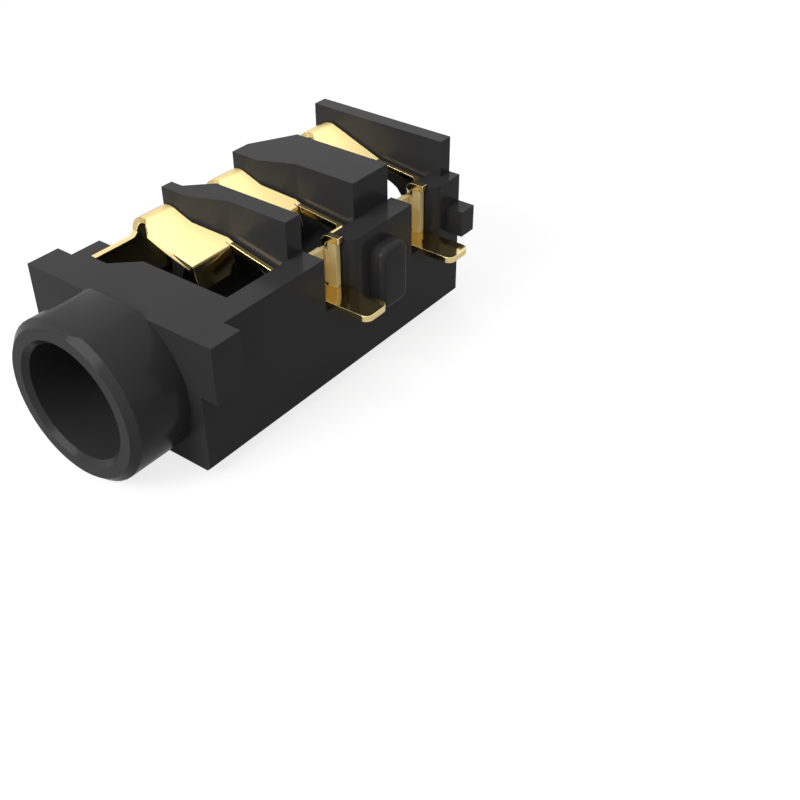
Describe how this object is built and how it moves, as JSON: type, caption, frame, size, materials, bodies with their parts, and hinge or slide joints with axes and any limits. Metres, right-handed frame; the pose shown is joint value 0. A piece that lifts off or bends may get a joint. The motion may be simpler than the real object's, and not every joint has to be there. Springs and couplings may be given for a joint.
{
  "type": "audio jack socket",
  "caption": "Sink-in surface-mount socket for a 3.5 mm plug: round barrel, open-topped black body with cross ribs, folded gold spring contacts and side solder feet.",
  "frame": {"origin": "on the axis of the plug bore, in the plane of the mouth", "axes": "+Y is the way the plug goes in, so the mouth opens toward -Y; +Z is the open side with the springs and the board's solder side faces -Z; +X is the side with the two switch terminals"},
  "size_m": [0.0088, 0.0141, 0.0059],
  "materials": {
    "black_plastic": "moulded black, fairly smooth, weak sharp reflections",
    "gold_plated_bronze": "thin gold plating on rolled spring bronze, near mirror"
  },
  "bodies": {
    "socket": {"housing": "black_plastic", "sleeve_contact_root": "gold_plated_bronze", "ring_contact_root": "gold_plated_bronze", "tip_contact_root": "gold_plated_bronze", "ring_switch_terminal": "gold_plated_bronze", "tip_switch_terminal": "gold_plated_bronze"},
    "sleeve_spring": {"sleeve_contact_arm": "gold_plated_bronze"},
    "ring_spring": {"ring_contact_arm": "gold_plated_bronze"},
    "tip_spring": {"tip_contact_arm": "gold_plated_bronze"}
  },
  "joints": [
    {"name": "sleeve_contact_flex", "type": "hinge", "parent": "socket", "child": "sleeve_spring", "pos_m": [-0.0024, 0, 0.00232], "axis": [0, -1, 0], "range_deg": [0, 8], "stiffness_Nm_per_rad": 0.035},
    {"name": "ring_contact_flex", "type": "hinge", "parent": "socket", "child": "ring_spring", "pos_m": [-0.0024, 0, 0.00232], "axis": [0, -1, 0], "range_deg": [0, 8], "stiffness_Nm_per_rad": 0.035},
    {"name": "tip_contact_flex", "type": "hinge", "parent": "socket", "child": "tip_spring", "pos_m": [-0.0024, 0, 0.00232], "axis": [0, -1, 0], "range_deg": [0, 8], "stiffness_Nm_per_rad": 0.035}
  ]
}
